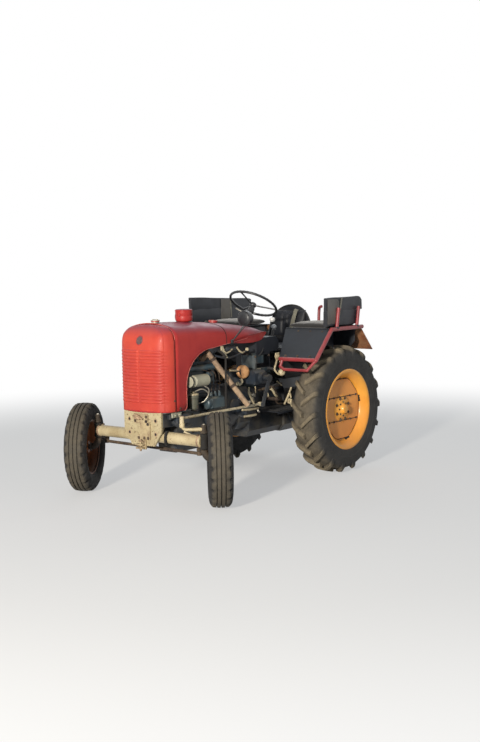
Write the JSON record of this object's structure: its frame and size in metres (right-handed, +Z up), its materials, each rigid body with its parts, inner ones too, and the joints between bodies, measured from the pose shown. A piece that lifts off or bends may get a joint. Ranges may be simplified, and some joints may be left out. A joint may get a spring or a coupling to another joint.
{
  "type": "vintage farm tractor",
  "caption": "Open vintage farm tractor with a rounded bonnet, lugged rear wheels, ribbed steered front wheels and padded fender benches.",
  "frame": {"origin": "on the ground in the symmetry plane, at the middle of the tractor's length with the front wheels at left lock", "axes": "+X forward along the tractor, +Y to its left, +Z up"},
  "size_m": [2.6085, 1.759, 1.5451],
  "materials": {
    "red_paint": "weathered satin",
    "cream_paint": "worn satin, rust at the edges",
    "engine_paint": "oily dark paint",
    "slate_paint": "matt slate paint",
    "rail_paint": "gloss red, worn",
    "rust": "rusted steel",
    "rust_orange": "rusted orange paint",
    "rim_yellow": "satin yellow orange paint",
    "rim_orange": "dull orange paint",
    "tyre": "worn rubber",
    "black_plastic": "matt black",
    "seat_cover": "black imitation leather",
    "cushion_cover": "worn grey cover",
    "board": "dark painted board",
    "grey_metal": "dull grey",
    "steel": "worn bright steel"
  },
  "bodies": {
    "chassis": {"engine": "engine_paint", "cylinder_head": "engine_paint", "gearbox": "engine_paint", "rear_axle": "engine_paint", "bolster": "cream_paint", "front_axle": "cream_paint", "nose": "red_paint", "grille": "red_paint", "bonnet": "red_paint", "pre_cleaner": "red_paint", "filler_caps": "red_paint", "exhaust_pipe": "rust", "dynamo": "grey_metal", "fuel_pump": "grey_metal", "dashboard": "slate_paint", "steering_column": "black_plastic", "steering_box": "engine_paint", "headlamps": "black_plastic", "footplates": "slate_paint", "pedals": "rust", "hand_levers": "steel", "seat_bracket": "engine_paint", "driver_seat": "seat_cover", "fenders": "slate_paint", "fender_rails": "rail_paint", "fender_cushions": "cushion_cover", "bench_backs": "board", "rear_flaps": "rust_orange", "tow_jaw": "rust", "drawbar": "rust", "pto_shaft": "steel"},
    "knuckle_left": {"knuckle_left": "cream_paint"},
    "knuckle_right": {"knuckle_right": "cream_paint"},
    "front_wheel_left": {"front_rim_left": "rim_orange", "front_tyre_left": "tyre"},
    "front_wheel_right": {"front_rim_right": "rim_orange", "front_tyre_right": "tyre"},
    "rear_wheel_left": {"rear_rim_left": "rim_yellow", "rear_tyre_left": "tyre"},
    "rear_wheel_right": {"rear_rim_right": "rim_yellow", "rear_tyre_right": "tyre"},
    "steering_wheel": {"steering_wheel": "black_plastic"},
    "drop_arm": {"drop_arm": "rust"},
    "drag_link": {"drag_link": "steel"},
    "track_rod": {"track_rod": "rust"}
  },
  "joints": [
    {"name": "steer_left", "type": "hinge", "parent": "chassis", "child": "knuckle_left", "pos_m": [0.93, 0.547, 0.485], "axis": [0, 0, 1], "range_deg": [-72, 0]},
    {"name": "steer_right", "type": "hinge", "parent": "chassis", "child": "knuckle_right", "pos_m": [0.93, -0.547, 0.485], "axis": [0, 0, 1], "range_deg": [-72, 0]},
    {"name": "front_left_spin", "type": "hinge", "parent": "knuckle_left", "child": "front_wheel_left", "pos_m": [0.85711, 0.62938, 0.35], "axis": [-0.6626, 0.749, 0], "continuous": true},
    {"name": "front_right_spin", "type": "hinge", "parent": "knuckle_right", "child": "front_wheel_right", "pos_m": [0.98583, -0.64178, 0.35], "axis": [-0.5075, 0.8616, 0], "continuous": true},
    {"name": "rear_left_spin", "type": "hinge", "parent": "chassis", "child": "rear_wheel_left", "pos_m": [-0.763, 0.589, 0.536], "axis": [0, 1, 0], "continuous": true},
    {"name": "rear_right_spin", "type": "hinge", "parent": "chassis", "child": "rear_wheel_right", "pos_m": [-0.763, -0.589, 0.536], "axis": [0, 1, 0], "continuous": true},
    {"name": "steering_turn", "type": "hinge", "parent": "chassis", "child": "steering_wheel", "pos_m": [-0.397, 0, 1.43], "axis": [-0.5299, 0, 0.848], "range_deg": [-864, 0]},
    {"name": "drop_arm_swing", "type": "hinge", "parent": "chassis", "child": "drop_arm", "pos_m": [-0.055, 0.412, 0.85], "axis": [0, 1, 0], "range_deg": [0, 49.54]},
    {"name": "drag_link_swivel", "type": "hinge", "parent": "knuckle_left", "child": "drag_link", "pos_m": [1.03469, 0.42867, 0.66], "axis": [0, 0, 1], "range_deg": [0, 71.08]},
    {"name": "track_rod_swivel", "type": "hinge", "parent": "knuckle_left", "child": "track_rod", "pos_m": [0.85583, 0.43465, 0.3757], "axis": [0, 0, 1], "range_deg": [0, 78.36]}
  ],
  "couplings": [
    {"joint": "steer_right", "follows": "steer_left", "ratio": 1},
    {"joint": "steering_turn", "follows": "steer_left", "ratio": 12},
    {"joint": "drop_arm_swing", "follows": "steer_left", "ratio": -0.68666},
    {"joint": "drag_link_swivel", "follows": "steer_left", "ratio": -0.98584},
    {"joint": "track_rod_swivel", "follows": "steer_left", "ratio": -1.0869}
  ]
}
